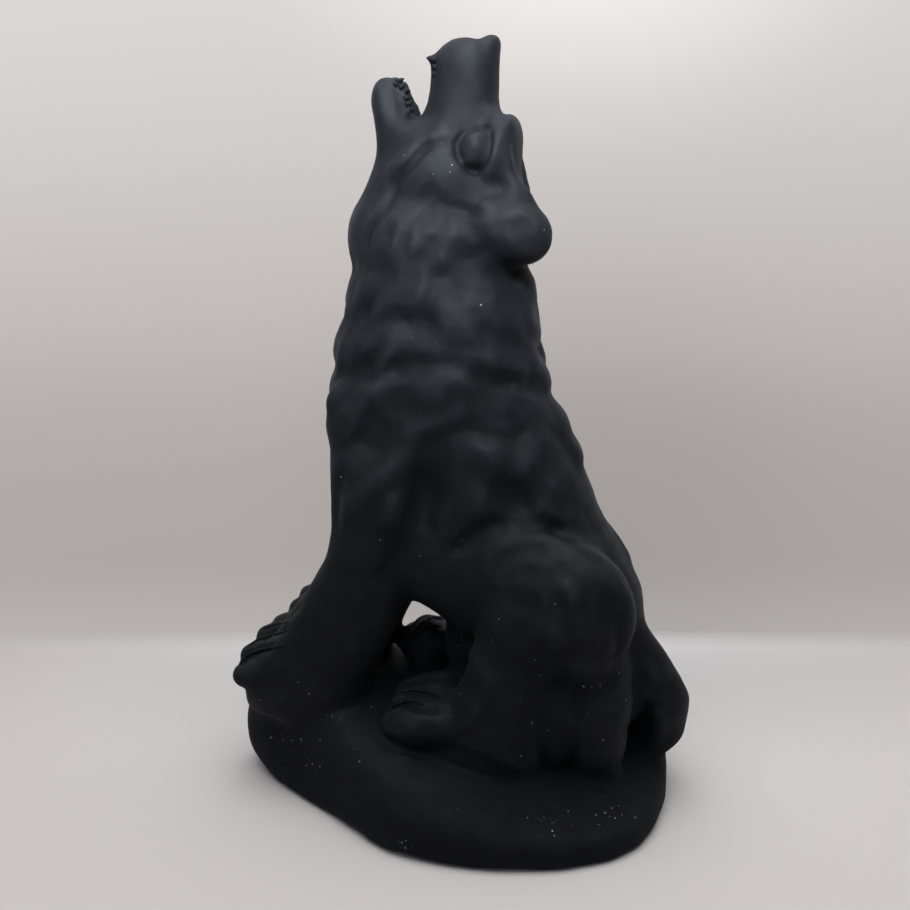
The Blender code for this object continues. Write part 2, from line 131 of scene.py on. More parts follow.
def smooth_faces(mesh):
    """Shades every face of a mesh as part of one round surface."""
    mesh.polygons.foreach_set("use_smooth", [True] * len(mesh.polygons))


def hold_in(mesh, box):
    """Keeps every point of a mesh inside a box."""
    points = np.clip(rows_of(mesh, "co"), np.array(box[0]), np.array(box[1]))
    mesh.vertices.foreach_set("co", points.ravel())
    mesh.update()


# %% [markdown]
# ## Where the photographer stood
# The camera is worked out from the picture itself: a 45 degree lens, ten degrees above level, on the
# wolf's left side and a little behind it. It comes before the carving, because the carving is laid out
# along its lines of sight. Its axes are written as vectors, so that nothing depends on a tracking helper.

# %% Set up the camera
PICTURE = 910
LENS_PIXELS = 1098.5
SIGHT_AZIMUTH = math.radians(102.0)
SIGHT_PITCH = math.radians(10.0)
EYE_POINT = Vector((285.0, 60.6, 143.9)) * MM
FRAME_SHIFT = Vector((0.02, -1.51, 0.01)) * MM

look_back = Vector((math.sin(SIGHT_AZIMUTH) * math.cos(SIGHT_PITCH),
                    -math.cos(SIGHT_AZIMUTH) * math.cos(SIGHT_PITCH),
                    math.sin(SIGHT_PITCH)))
look_right = Vector((math.cos(SIGHT_AZIMUTH), math.sin(SIGHT_AZIMUTH), 0.0))
look_up = look_back.cross(look_right)
eye_point = EYE_POINT + FRAME_SHIFT

lens = bpy.data.cameras.new("photo_lens")
lens.lens_unit = "FOV"
lens.angle = 2.0 * math.atan(PICTURE / 2 / LENS_PIXELS)
lens.clip_start, lens.clip_end = 0.01, 10.0
camera = added("photo_camera", lens)
turn = Matrix((look_right, look_up, look_back)).transposed().to_4x4()
camera.matrix_world = Matrix.Translation(eye_point) @ turn
bpy.context.scene.camera = camera
print("camera at", [round(v, 4) for v in eye_point])


def line_of_sight(u, v):
    """The direction that the camera sees at a point of the picture."""
    half = PICTURE / 2
    ahead = -look_back
    sideways = look_right * ((u - half) / LENS_PIXELS)
    return (ahead + sideways - look_up * ((v - half) / LENS_PIXELS)).normalized()


# %% [markdown]
# ## A finer skin over the solid
# The solid has about eleven thousand flat triangles, which is too coarse for cuts a millimetre wide.
# Subdividing it rounds its facets, and a voxel remesh then gives an even skin of small faces that can be
# moved about like clay. Sculpting by hand would do the same, but a script has to come out the same twice.
#
# ### Pellets of clay
# The solid's own grooves are harder than the real ones on the forehead, the ear, the cheek, the neck, the
# shoulder and behind the shin. A flat pellet is pressed in there first and fused with the skin. Most are laid
# on the plane through four points around them, so that a groove below doesn't pull them in.

# %% Press the pellets in
# Point of the picture, half width, half height, then thickness and rise in millimetres, mirrored or not
PELLETS = [
    (474, 151, 40, 46, 3.4, 0.85, True), (488, 185, 19, 16, 3.0, 0.0, True),
    (410, 367, 36, 17, 4.0, 0.5, True), (499, 372, 34, 16, 4.0, 0.9, True),
    (486, 230, 24, 28, 3.8, 0.5, False), (503, 267, 22, 16, 4.0, 0.6, False),
    (470, 244, 22, 17, 3.6, 0.4, False), (438, 267, 19, 14, 3.2, 0.3, False),
    (438, 199, 36, 14, 3.2, 0.5, True), (445, 428, 30, 18, 3.6, 0.3, True),
    (437, 396, 38, 20, 4.0, 0.5, True), (495, 450, 34, 22, 3.6, 0.3, True),
    (558, 731, 30, 52, 6.0, -0.1, False), (640, 715, 18, 24, 5.0, -2.0, False)]
# Pellets placed in the solid's own millimetres: centre, radii, lean about the side-to-side axis
BODY_PELLETS = [((0.0, 11.7, 167.5), (14.0, 4.7, 13.5), -14.0), ((22.2, -4.5, 26.5), (9.0, 10.5, 5.4), 12.0),
                ((-12.0, -10.6, 33.5), (6.2, 6.0, 9.8), 0.0)]
PELLET_DETAIL = 4
MIDDLE_X = FRAME_SHIFT.x


def press_pellets(skin):
    """Joins every pellet to the skin's mesh."""
    tree = tree_of(skin)
    shape = opened(skin.data)
    over = Matrix.Translation((2.0 * MIDDLE_X, 0.0, 0.0)) @ Matrix.Diagonal((-1.0, 1.0, 1.0, 1.0))
    pressed = []
    for u, v, wide, tall, thick, rise, mirrored in PELLETS:
        rim = [tree.ray_cast(eye_point, line_of_sight(u + du, v + dv))[0]
               for du, dv in ((-wide, 0), (wide, 0), (0, -tall), (0, tall))]
        across, down = rim[1] - rim[0], rim[3] - rim[2]
        out = down.cross(across).normalized()
        size = (across.length * 0.5, down.length * 0.5, thick * MM)
        centre = sum(rim, Vector()) / 4 + out * (rise - thick) * MM
        turned = Matrix((across.normalized(), across.cross(out).normalized(), out)).transposed().to_4x4()
        place = Matrix.Translation(centre) @ turned @ Matrix.Diagonal((*size, 1.0))
        pressed += [place, over @ place] if mirrored else [place]
    for centre, radii, lean in BODY_PELLETS:
        turned = Matrix.Rotation(math.radians(lean), 4, "X")
        size = Matrix.Diagonal((*(r * MM for r in radii), 1.0))
        pressed.append(Matrix.Translation(FRAME_SHIFT + Vector(centre) * MM) @ turned @ size)
    for place in pressed:
        bmesh.ops.create_icosphere(shape, subdivisions=PELLET_DETAIL, radius=1.0, matrix=place)
    written(shape, skin.data)


# %% Make the fine skin
SKIN_VOXEL = 0.62 * MM
SKIN_ROUNDS = 4
SKIN_SPLITS = 2
WELD = 0.00001


def fine_skin(node):
    """A welded, rounded and evenly remeshed copy of the solid."""
    shape = opened(node.data)
    bmesh.ops.remove_doubles(shape, verts=shape.verts, dist=WELD)
    skin = added("wolf_casting", written(shape, node.data.copy()))
    rounding = skin.modifiers.new("rounding", "SUBSURF")
    rounding.levels = rounding.render_levels = SKIN_SPLITS
    apply_all(skin)
    press_pellets(skin)
    grid = skin.modifiers.new("even_skin", "REMESH")
    grid.mode, grid.voxel_size = "VOXEL", SKIN_VOXEL
    relax(skin, SKIN_ROUNDS)
    apply_all(skin)
    return skin


casting = fine_skin(solid)
print("fine skin", len(casting.data.vertices), "points")

# %% [markdown]
# ### Rounding it like wet clay
# The real coat is low and soft, so all of the skin is rounded a little, except the jaws, the toes and the
# nose, which keep their modelling. The sides of the neck and the shoulders, which are almost plain on the
# real wolf, are rounded a second time.

# %% Round the skin
SOFT_ROUNDS = 24
# Centre and reach of round zones, in the solid's own millimetres
KEPT_CRISP = [((0.0, -8.0, 190.0), 20.0), ((14.0, -52.0, 36.0), 20.0), ((-14.0, -50.0, 42.0), 20.0),
              ((16.0, -10.0, 26.0), 14.0), ((-14.0, -14.0, 33.0), 16.0)]
PLAIN_SIDES = [((22.0, 6.0, 134.0), 25.0), ((26.0, 8.0, 108.0), 27.0),
               ((-22.0, 6.0, 134.0), 25.0), ((-26.0, 8.0, 108.0), 27.0)]


def near_to(mesh, zones):
    """For each point, one well inside any of the round zones and nothing outside them."""
    points = rows_of(mesh, "co")
    share = np.zeros(len(points))
    for centre, reach in zones:
        gap = np.linalg.norm(points - np.array(FRAME_SHIFT) - np.array(centre) * MM, axis=1) / (reach * MM)
        share = np.maximum(share, np.clip(2.0 - 2.0 * gap, 0.0, 1.0))
    return share


def round_skin(skin, rounds, share):
    """Smooths the skin, each point by its own share."""
    before = rows_of(skin.data, "co")
    relax(skin, rounds)
    apply_all(skin)
    after = rows_of(skin.data, "co")
    skin.data.vertices.foreach_set("co", (before + (after - before) * share[:, None]).ravel())
    skin.data.update()


round_skin(casting, SOFT_ROUNDS, 1.0 - near_to(casting.data, KEPT_CRISP))
round_skin(casting, 2 * SOFT_ROUNDS, near_to(casting.data, PLAIN_SIDES))
print("rounded", SOFT_ROUNDS, "times")

# %% [markdown]
# ## The sculptor's cuts
# The wolf's coat was modelled by hand as broad tiers of fur with scooped hollows between them. Each cut
# is kept here as one stroke: how far it reaches to each side, how deep it goes (a ridge is a cut upwards),
# and the few points of the picture that it runs through. A stroke is thrown onto the skin along the
# camera's lines of sight, which puts it where the eye sees it, and then the skin beside it is moved along
# its own normals. A sum of such strokes builds up the way that a modelling tool does.

# %% Throw a stroke of the picture onto the skin
# Distance between two casts along a stroke, in points of the picture
STROKE_STEP = 1.6


def thrown(tree, points):
    """Where a line of picture points lands on the skin, and the skin's normals there."""
    places, normals = [], []
    for (u0, v0), (u1, v1) in zip(points, points[1:]):
        steps = max(1, int(math.hypot(u1 - u0, v1 - v0) / STROKE_STEP))
        for i in range(steps + 1):
            t = i / steps
            sight = line_of_sight(u0 + (u1 - u0) * t, v0 + (v1 - v0) * t)
            place, normal, _, _ = tree.ray_cast(eye_point, sight)
            if place is not None:
                places.append(place)
                normals.append(normal)
    return places, normals


# %% Move the skin beside a stroke
# A stroke starts at less than its full depth and swells to it, in shares of its reach
END_DEPTH = 0.45
END_LENGTH = 1.1


def push(points, normals, moved, places, facing, reach, depth):
    """Adds a stroke's rounded cut or ridge to what each point of the skin moves."""
    places = np.array(places)
    facing = np.array(facing)
    low, high = places.min(0) - reach, places.max(0) + reach
    near = np.nonzero(np.all((points > low) & (points < high), axis=1))[0]
    if not len(near):
        return
    gaps = np.linalg.norm(points[near][:, None, :] - places[None, :, :], axis=2)
    closest = gaps.argmin(1)
    gap = gaps[np.arange(len(near)), closest]
    length = np.concatenate([[0.0], np.cumsum(np.linalg.norm(np.diff(places, axis=0), axis=1))])
    ends = np.minimum(length, length[-1] - length)
    taper = np.clip((ends + END_DEPTH * reach) / (END_LENGTH * reach), 0.0, 1.0)[closest]
    same_side = np.clip(np.einsum("ij,ij->i", normals[near], facing[closest]) * 2.0, 0.0, 1.0)
    swell = np.clip(1.0 - (gap / reach) ** 2, 0.0, None) ** 2
    moved[near] += depth * swell * taper * same_side


# %% [markdown]
# ### Head and ear
# The cheek is bounded by one long groove, the almond eye is a low bulge with a thin outline, and the ear is
# laid back along the neck. The numbers are the reach and the depth in millimetres: a depth below nothing is
# a cut, and one above it is a ridge.

# %% Strokes of the head
HEAD_STROKES = [
    (2.4, -0.5, [(449, 141), (438, 142), (428, 147), (417, 157), (407, 168), (397, 179), (393, 195),
                 (385, 209), (377, 218), (370, 230), (366, 242), (369, 253)]),
    (3.9, 0.4, [(442, 135), (426, 140), (412, 152), (396, 165), (389, 177), (382, 193), (375, 209)]),
    (3.1, -0.3, [(440, 160), (443, 164)]),
    (2.7, -0.5, [(412, 201), (421, 197), (428, 191)]),
    (2.7, -0.5, [(435, 196), (442, 199), (449, 202)]),
    (2.7, -0.4, [(456, 208), (467, 211), (481, 215)]),
    (2.8, 0.3, [(410, 196), (420, 192), (427, 186)]),
    (2.8, 0.3, [(436, 191), (443, 194), (450, 197)]),
    (2.8, 0.2, [(457, 203), (468, 206), (482, 209)]),
    (2.8, 0.3, [(486, 206), (490, 213)]),
    (6.2, -0.2, [(491, 184), (499, 193)]),
    (3.9, 0.4, [(482, 101), (497, 113), (509, 120), (516, 129)]),
    (2.4, -0.3, [(478, 100), (485, 103)]),
    (2.2, 0.4, [(513, 178), (527, 191), (535, 202)]),
    (2.7, -0.5, [(370, 229), (366, 244)]),
    (2.7, -0.4, [(391, 228), (385, 240)]),
    (3.1, -0.6, [(406, 229), (402, 242), (400, 256)]),
    (2.5, -0.4, [(421, 218), (417, 228)]),
    (2.8, 0.4, [(401, 227), (392, 253)]),
    (2.8, 0.4, [(433, 227), (426, 242), (417, 254)]),
    (2.8, 0.3, [(449, 253), (442, 265)]),
    (2.2, -0.5, [(481, 41), (482, 47)]),
    (1.7, 0.2, [(387, 83), (392, 96), (398, 113), (410, 120)]),
    (3.1, -0.3, [(389, 124), (387, 140), (385, 156)]),
]
EAR_STROKES = [
    (6.0, 0.8, [(490, 208), (483, 222), (481, 238), (487, 250)]),
    (3.6, 0.4, [(492, 204), (500, 198), (510, 196)]),
    (5.0, -0.9, [(505, 222), (522, 226), (532, 238)]),
    (4.2, -0.4, [(484, 262), (499, 268), (512, 274)]),
]
EYE_STROKES = [
    (1.3, -0.75, [(489, 127), (481, 127), (474, 129), (464, 133), (457, 142), (457, 152), (461, 161),
                  (468, 168), (477, 172), (484, 166), (488, 156), (490, 144), (490, 132)]),
    (3.4, 0.4, [(472, 142), (473, 156)]),
]

# %% [markdown]
# ### Ruff, shoulder and flank
# Two folds cross the neck like a scarf, a flat plate of fur lies over the shoulder, and the ribs show as
# scooped hollows above the haunch.

# %% Strokes of the body
NECK_STROKES = [
    (3.8, -0.6, [(386, 371), (404, 366), (430, 363), (452, 364), (474, 372), (496, 378), (520, 382),
                 (538, 389)]),
    (3.7, -0.6, [(436, 233), (426, 247), (415, 262), (411, 284), (406, 295), (400, 305)]),
    (3.4, -0.5, [(369, 299), (364, 321)]),
    (3.4, -0.4, [(355, 279), (348, 301)]),
    (3.7, 0.4, [(374, 269), (365, 290), (363, 305), (361, 320)]),
    (3.4, 0.3, [(383, 301), (372, 321)]),
    (3.7, 0.2, [(425, 282), (414, 292), (410, 310)]),
    (3.0, 0.4, [(482, 284), (494, 288), (497, 293), (488, 299)]),
    (7.1, -0.2, [(442, 286), (464, 291)]),
    (4.7, -0.4, [(378, 333), (385, 324), (400, 321), (417, 321), (436, 323), (451, 323), (469, 322),
                 (481, 325), (497, 323)]),
    (2.9, -0.3, [(479, 331), (496, 331)]),
    (3.7, 0.4, [(535, 273), (518, 284), (516, 293)]),
    (2.9, -0.4, [(512, 275), (510, 290)]),
    (5.4, 0.4, [(398, 335), (412, 331), (425, 330), (450, 330), (466, 328), (480, 333), (495, 337),
                (497, 357)]),
    (3.7, -0.6, [(380, 346), (372, 358), (365, 371)]),
    (5.4, -0.3, [(387, 370), (398, 367), (409, 369)]),
    (6.0, -0.4, [(413, 369), (430, 364), (448, 363), (466, 368)]),
    (4.7, -0.3, [(470, 373), (482, 374), (494, 379)]),
    (4.3, -0.3, [(497, 377), (516, 380), (535, 388)]),
]
FLANK_STROKES = [
    (7.0, -1.5, [(434, 452), (434, 482), (428, 512)]),
    (5.0, -0.9, [(390, 415), (378, 440), (368, 460)]),
    (7.5, -1.2, [(505, 490), (522, 500), (536, 508)]),
    (3.0, -0.9, [(546, 522), (566, 538), (590, 552), (608, 566)]),
    (6.0, 0.9, [(408, 392), (430, 396), (455, 402)]),
    (5.0, 0.7, [(352, 392), (366, 386), (380, 384)]),
    (3.7, 0.2, [(383, 376), (410, 376), (432, 377), (462, 380), (474, 387), (482, 409)]),
    (3.7, 0.3, [(382, 378), (376, 409)]),
    (3.2, -0.5, [(377, 410), (367, 424), (355, 447)]),
    (3.7, 0.3, [(372, 404), (360, 421), (346, 440)]),
    (3.4, -0.2, [(404, 387), (397, 402), (395, 420)]),
    (4.1, 0.2, [(402, 436), (425, 431), (443, 425), (462, 417)]),
    (4.7, -0.2, [(443, 431), (455, 428), (468, 424)]),
    (5.4, -0.2, [(489, 376), (489, 405)]),
    (3.7, 0.3, [(494, 380), (513, 390), (531, 402), (526, 417)]),
    (3.7, -0.3, [(473, 437), (488, 437), (505, 438), (516, 445)]),
    (3.2, -0.4, [(503, 417), (516, 420), (523, 432), (522, 441)]),
    (3.4, 0.4, [(544, 410), (563, 437), (576, 448)]),
    (3.0, -0.4, [(556, 436), (567, 446), (578, 456)]),
    (6.0, 0.2, [(411, 449), (395, 468), (373, 483), (355, 510)]),
    (5.4, -0.3, [(381, 494), (366, 512), (352, 533)]),
    (7.4, -0.4, [(424, 481), (424, 503), (425, 524)]),
    (5.4, 0.4, [(399, 484), (411, 493)]),
    (7.1, 0.4, [(392, 523), (404, 530), (414, 541)]),
    (4.1, -0.2, [(424, 533), (411, 544), (395, 555), (383, 569), (372, 589), (362, 612)]),
    (7.1, -0.3, [(482, 528), (491, 538), (479, 547), (463, 556)]),
    (7.1, -0.3, [(501, 517), (521, 518), (541, 516)]),
    (6.0, -0.4, [(504, 486), (520, 490)]),
    (3.7, -0.4, [(522, 473), (538, 485), (549, 498), (563, 503)]),
    (4.3, -0.4, [(548, 526), (570, 532)]),
    (4.1, -0.2, [(565, 544), (581, 555), (601, 554), (612, 569)]),
    (4.1, 0.4, [(544, 511), (576, 518), (587, 537), (603, 547)]),
]

# %% [markdown]
# ### Haunch, tail and feet
# The thigh is a disc with two rims, the shin stands in front of a deep heel groove, and the toes are
# parted by short arcs. The tail curls up against the rump from below.

# %% Strokes of the hind parts and feet
HAUNCH_STROKES = [
    (3.7, 0.3, [(479, 578), (495, 550), (515, 534), (542, 537), (569, 555), (603, 578), (624, 591)]),
    (3.4, 0.4, [(488, 583), (508, 566), (531, 560), (549, 564)]),
    (5.4, -0.6, [(514, 574), (536, 570), (557, 574)]),
    (3.7, 0.6, [(462, 618), (464, 640), (477, 662), (492, 690)]),
    (4.3, 0.6, [(529, 638), (541, 628), (556, 624), (566, 634)]),
    (3.7, -0.6, [(560, 674), (558, 694)]),
    (4.3, -0.4, [(568, 704), (587, 699), (601, 689), (614, 670), (622, 649), (621, 628)]),
    (3.7, -0.4, [(620, 622), (619, 645), (610, 665)]),
    (3.2, -0.6, [(596, 651), (593, 666)]),
    (3.2, -0.6, [(586, 599), (583, 619)]),
    (2.9, -0.4, [(610, 596), (609, 607)]),
    (3.4, 0.6, [(539, 678), (541, 701), (534, 716), (534, 742), (533, 768)]),
    (3.7, 0.4, [(479, 696), (469, 719), (451, 730)]),
    (6.4, -0.6, [(556, 706), (557, 740), (561, 773)]),
    (3.7, 0.6, [(575, 713), (579, 742), (583, 771)]),
    (3.7, 0.4, [(629, 697), (626, 719), (614, 734)]),
    (4.1, -0.9, [(638, 668), (633, 692)]),
    (3.7, 0.6, [(645, 667), (658, 676), (672, 674)]),
    (3.4, 0.6, [(641, 692), (649, 711), (660, 718), (658, 738), (646, 761)]),
    (7.1, -0.6, [(616, 742), (637, 727), (652, 734)]),
]
FOOT_STROKES = [
    (2.4, -1.0, [(239, 667), (247, 656), (259, 650), (273, 647)]),
    (2.1, -0.8, [(263, 637), (274, 633), (288, 629)]),
    (2.0, -0.6, [(288, 618), (294, 611), (301, 606)]),
    (2.2, -0.9, [(381, 718), (388, 708), (403, 703), (418, 708), (438, 711)]),
    (2.1, -0.8, [(402, 691), (415, 690), (429, 694), (438, 698)]),
    (2.7, -0.5, [(385, 741), (404, 750), (426, 753), (455, 750), (480, 760), (498, 768), (525, 779)]),
]

# %% [markdown]
# ## Cutting all of it
# The far side of the wolf is out of the picture, so it gets the same cuts, mirrored across the animal's
# middle and dropped onto the nearest skin. The far legs stand a step ahead, so they keep their own forms.

# %% Carve the skin
SNAP = 9.0 * MM


def twins(tree, places):
    """The far side of a stroke: each place is mirrored and dropped onto the nearest skin."""
    spots, facing = [], []
    for place in places:
        spot, normal, _, gap = tree.find_nearest(Vector((2.0 * MIDDLE_X - place.x, place.y, place.z)))
        if spot is not None and gap < SNAP:
            spots.append(spot)
            facing.append(normal)
    return spots, facing


def carve(skin, near_only, both_sides):
    """Cuts every stroke into the skin, on the near side alone or on both."""
    mesh = skin.data
    points, normals = rows_of(mesh, "co"), rows_of(mesh, "normal")
    tree = tree_of(skin)
    moved = np.zeros(len(points))
    cuts = 0
    for strokes, mirrored in ((near_only, False), (both_sides, True)):
        for reach, depth, line in strokes:
            sides = [thrown(tree, line)]
            if mirrored:
                sides.append(twins(tree, sides[0][0]))
            for places, facing in sides:
                if len(places) > 1:
                    push(points, normals, moved, places, facing, reach * MM, depth * MM)
                    cuts += 1
    points += normals * moved[:, None]
    mesh.vertices.foreach_set("co", points.ravel())
    mesh.update()
    return cuts


two_sided = HEAD_STROKES + EAR_STROKES + EYE_STROKES + NECK_STROKES + FLANK_STROKES
cuts = carve(casting, FOOT_STROKES + HAUNCH_STROKES, two_sided)
print("cuts", cuts)

# %% [markdown]
# ## Hand-modelled unevenness
# No face of the real casting is truly even: it was pressed and smoothed by thumb. A soft cloud texture
# moves the skin by a fifth of a millimetre. Then the mesh is thinned where it is flat, which keeps the
# small faces in the cuts, and everything is held inside the box of the solid.

# %% Soften, thin and hold the skin
SKIN_FACES = 190000
THUMB_SIZE = 6.5 * MM
THUMB_PRESS = 0.45 * MM
THUMB_ROUNDS = 2


def finish_skin(skin):
    """Uneven, thinned and held inside the box of the solid."""
    thumb = bpy.data.textures.new("thumb_marks", "CLOUDS")
    thumb.noise_scale = THUMB_SIZE
    press = skin.modifiers.new("pressed", "DISPLACE")
    press.texture, press.texture_coords = thumb, "LOCAL"
    press.strength, press.mid_level = THUMB_PRESS, 0.5
    relax(skin, THUMB_ROUNDS)
    apply_all(skin)
    faces = sum(len(p.vertices) - 2 for p in skin.data.polygons)
    thin = skin.modifiers.new("thin", "DECIMATE")
    thin.ratio = min(1.0, SKIN_FACES / faces)
    apply_all(skin)
    smooth_faces(skin.data)
    hold_in(skin.data, cad_box)


finish_skin(casting)
print("skin faces", len(casting.data.polygons))

# %% [markdown]
# ## Claws and teeth
# The smallest forms are finer than the skin's faces: the curved claws of the feet and the ragged teeth
# along the jaws. Each is a tapered bead laid along a few points of the picture, half sunk in the skin, the
# way that a sculptor rolls and lays on a thread of clay.

# %% Roll the claws and teeth
# Radius in millimetres, then the points of the picture that the claw runs through
CLAWS = [
    (0.55, [(388, 712), (393, 706), (402, 702), (412, 701), (424, 705)]),
    (0.50, [(393, 697), (402, 692), (414, 690), (428, 692), (440, 697)]),
    (0.45, [(428, 620), (434, 617), (442, 619)]),
    (0.40, [(424, 629), (433, 625), (442, 627)]),
    (0.50, [(240, 664), (246, 656), (256, 651), (270, 648), (286, 645)]),
    (0.45, [(250, 645), (260, 639), (272, 635), (287, 631)]),
    (0.40, [(264, 629), (274, 625), (288, 622)]),
]
# Point of the picture and length in millimetres, below nothing where the tooth points to the left
TEETH = [(399, 81, 1.6), (401, 87, 1.3), (405, 92, 1.6), (407, 98, 1.2), (408, 104, 1.4), (411, 110, 1.2),
         (396, 84, 1.1), (434, 60, -1.3), (434, 67, -1.2), (434, 74, -0.9)]
TOOTH_RADII = (0.95 * MM, 0.62 * MM, 0.08 * MM)
TOOTH_SIDEWAYS, TOOTH_UPWARDS = 0.9, 0.55
TOOTH_SUNK = 0.3
TOOTH_ROOT = 0.6
CLAW_RISE = 0.35
BEAD_SIDES = 8
BEAD_BEND = 0.6


def bead(shape, places, radii):
    """A closed round thread through the places, with its own radius at each."""
    rings, across = [], None
    for i, (place, radius) in enumerate(zip(places, radii)):
        along = (places[min(i + 1, len(places) - 1)] - places[max(i - 1, 0)]).normalized()
        across = along.orthogonal() if across is None else across - along * across.dot(along)
        across.normalize()
        other = along.cross(across)
        ring = []
        for k in range(BEAD_SIDES):
            a = 2.0 * math.pi * k / BEAD_SIDES
            ring.append(shape.verts.new(place + (across * math.cos(a) + other * math.sin(a)) * radius))
        rings.append(ring)
    for low, high in zip(rings, rings[1:]):
        for k in range(BEAD_SIDES):
            n = (k + 1) % BEAD_SIDES
            shape.faces.new((low[k], low[n], high[n], high[k]))
    shape.faces.new(list(reversed(rings[0])))
    shape.faces.new(rings[-1])


def claw_swell(share):
    """How thick a claw is at a share of its length: thickest before its middle, thinnest at its ends."""
    return 0.45 + 0.55 * math.sin(math.pi * min(1.0, share * 1.15))


def claws_and_teeth(skin):
    """All claws and teeth as one piece, held inside the box of the solid."""
    tree = tree_of(skin)
    shape = bmesh.new()
    for radius, line in CLAWS:
        places, facing = thrown(tree, line)
        count = len(places)
        radii = [radius * MM * claw_swell((i + 1) / count) for i in range(count)]
        bead(shape, [p + n * radius * CLAW_RISE * MM for p, n in zip(places, facing)], radii)
    for u, v, length in TEETH:
        place, normal, _, _ = tree.ray_cast(eye_point, line_of_sight(u, v))
        sideways = TOOTH_SIDEWAYS if length > 0 else -TOOTH_SIDEWAYS
        lean = (look_right * sideways + look_up * TOOTH_UPWARDS).normalized()
        root = place - normal * TOOTH_SUNK * MM
        tip = root + lean * abs(length) * MM
        bead(shape, [root - lean * TOOTH_ROOT * MM, root.lerp(tip, 0.5), tip], TOOTH_RADII)
    bmesh.ops.recalc_face_normals(shape, faces=shape.faces)
    mesh = written(shape, bpy.data.meshes.new("claws_and_teeth"))
    smooth_faces(mesh)
    hold_in(mesh, cad_box)
    number_layer(mesh, "bend", [BEAD_BEND] * len(mesh.vertices))
    return added("claws_and_teeth", mesh)


claws = claws_and_teeth(casting)
print("claws and teeth", len(claws.data.polygons), "faces")

# %% [markdown]
# ## How the edges and hollows are told apart
# Handling polishes the ridges of a painted casting; its hollows are darkened with painted shade. The bend of
# the mesh at each point, smoothed over its neighbours, is stored as a number between 0 (hollow) and 1 (ridge),
# so that the paint can read it. The renderer has its own measure for this, but it doesn't travel with the part.

# %% Store the bend of the skin
BEND_REACH = 6
BEND_ROUNDS = 2
BEND_SPAN = 0.5 * MM


def store_bend(mesh):
    """Writes how far each point stands out from its neighbours as a number around one half."""
    points = rows_of(mesh, "co")
    count = len(points)
    pairs = np.empty(len(mesh.edges) * 2, dtype=np.int64)
    mesh.edges.foreach_get("vertices", pairs)
    a, b = pairs.reshape(-1, 2).T
    many = np.bincount(a, minlength=count) + np.bincount(b, minlength=count)

    def neighbours(values):
        return (np.bincount(a, values[b], count) + np.bincount(b, values[a], count)) / many

    wide = points.copy()
    for _ in range(BEND_REACH):
        wide = np.stack([neighbours(wide[:, k]) for k in range(3)], axis=1)
    stands = np.einsum("ij,ij->i", points - wide, rows_of(mesh, "normal"))
    for _ in range(BEND_ROUNDS):
        stands = 0.5 * stands + 0.5 * neighbours(stands)
    values = np.clip(0.5 + stands / BEND_SPAN, 0.0, 1.0)
    number_layer(mesh, "bend", values.astype(np.float32))
    return float(values.mean())


print("mean bend", round(store_bend(casting.data), 3))

# %% [markdown]
# ## Matt black paint on a fine casting
# The paint is a dead black with a soft cool sheen, like rubbed graphite where it faces the light. One
# group of nodes makes what varies over it: a cloudy tone, a fine grain, rubbed ridges, painted shade in the
# hollows and a thin patchy film of dust. The numbers that are the same all over stay on the shader. The rock
# is rougher than the wolf on it, because it is handled less, and its colour is darkened by painted shade;
# both are told by height alone.

# %% Short hands for nodes
def socket(tree, name, kind, value=None, out=False):
    """Adds a named socket to a node group."""
    made = tree.interface.new_socket(name=name, in_out="OUTPUT" if out else "INPUT", socket_type=kind)
    if value is not None:
        made.default_value = value


def port(ports, kind, name=None):
    """The first socket of a kind, and of a name if one is given."""
    return next(p for p in ports if p.type == kind and name in (None, p.name))


def give(node, values):
    """Sets numbers and colours on a node's own sockets."""
    for key, value in values.items():
        node.inputs[key].default_value = value


class Sheet:
    """A short hand for adding nodes to a tree and joining them."""

    def __init__(self, tree):
        self.tree = tree

    def node(self, kind, place, **settings):
        made = self.tree.nodes.new(kind)
        made.location = place
        for key, value in settings.items():
            setattr(made, key, value)
        return made

    def join(self, source, target):
        self.tree.links.new(source, target)

    def noise(self, place, where, scale, detail=3.0, rough=0.5):
        made = self.node("ShaderNodeTexNoise", place)
        self.join(where, made.inputs["Vector"])
        give(made, {"Scale": scale, "Detail": detail, "Roughness": rough})
        return made.outputs["Fac"]

    def remap(self, place, value, low, high, to_low=0.0, to_high=1.0, **settings):
        made = self.node("ShaderNodeMapRange", place, **settings)
        self.join(value, made.inputs["Value"])
        give(made, {"From Min": low, "From Max": high, "To Min": to_low, "To Max": to_high})
        return made.outputs["Result"]

    def maths(self, place, sort, first, second):
        made = self.node("ShaderNodeMath", place, operation=sort)
        for index, value in enumerate((first, second)):
            if isinstance(value, (int, float)):
                made.inputs[index].default_value = value
            else:
                self.join(value, made.inputs[index])
        return made.outputs[0]

    def times(self, place, first, second):
        return self.maths(place, "MULTIPLY", first, second)

    def blend(self, place, mask, first, second):
        made = self.node("ShaderNodeMix", place, data_type="RGBA")
        self.join(mask, made.inputs["Factor"])
        for key, value in (("A", first), ("B", second)):
            side = port(made.inputs, "RGBA", key)
            if isinstance(value, tuple):
                side.default_value = value
            else:
                self.join(value, side)
        return port(made.outputs, "RGBA")


# %% Build the paint
CLOUD_BLACKS = ((0.0056, 0.0058, 0.0075, 1.0), (0.0072, 0.0075, 0.0098, 1.0))
RUBBED_BLACK = (0.0135, 0.0143, 0.0180, 1.0)
# Painted shade: the colour that the hollows of the skin are darkened towards, and how far
HOLLOW_SHADE_BLACK = (0.0034, 0.0035, 0.0045, 1.0)
HOLLOW_SHADE_SHARE = 0.55
# Painted shade: the darker colour of the rock, how far it reaches, and the rock's extra roughness
ROCK_SHADE_BLACK = (0.0036, 0.0037, 0.0048, 1.0)
ROCK_SHADE_SHARE = 0.5
ROCK_ROUGHER = 0.22
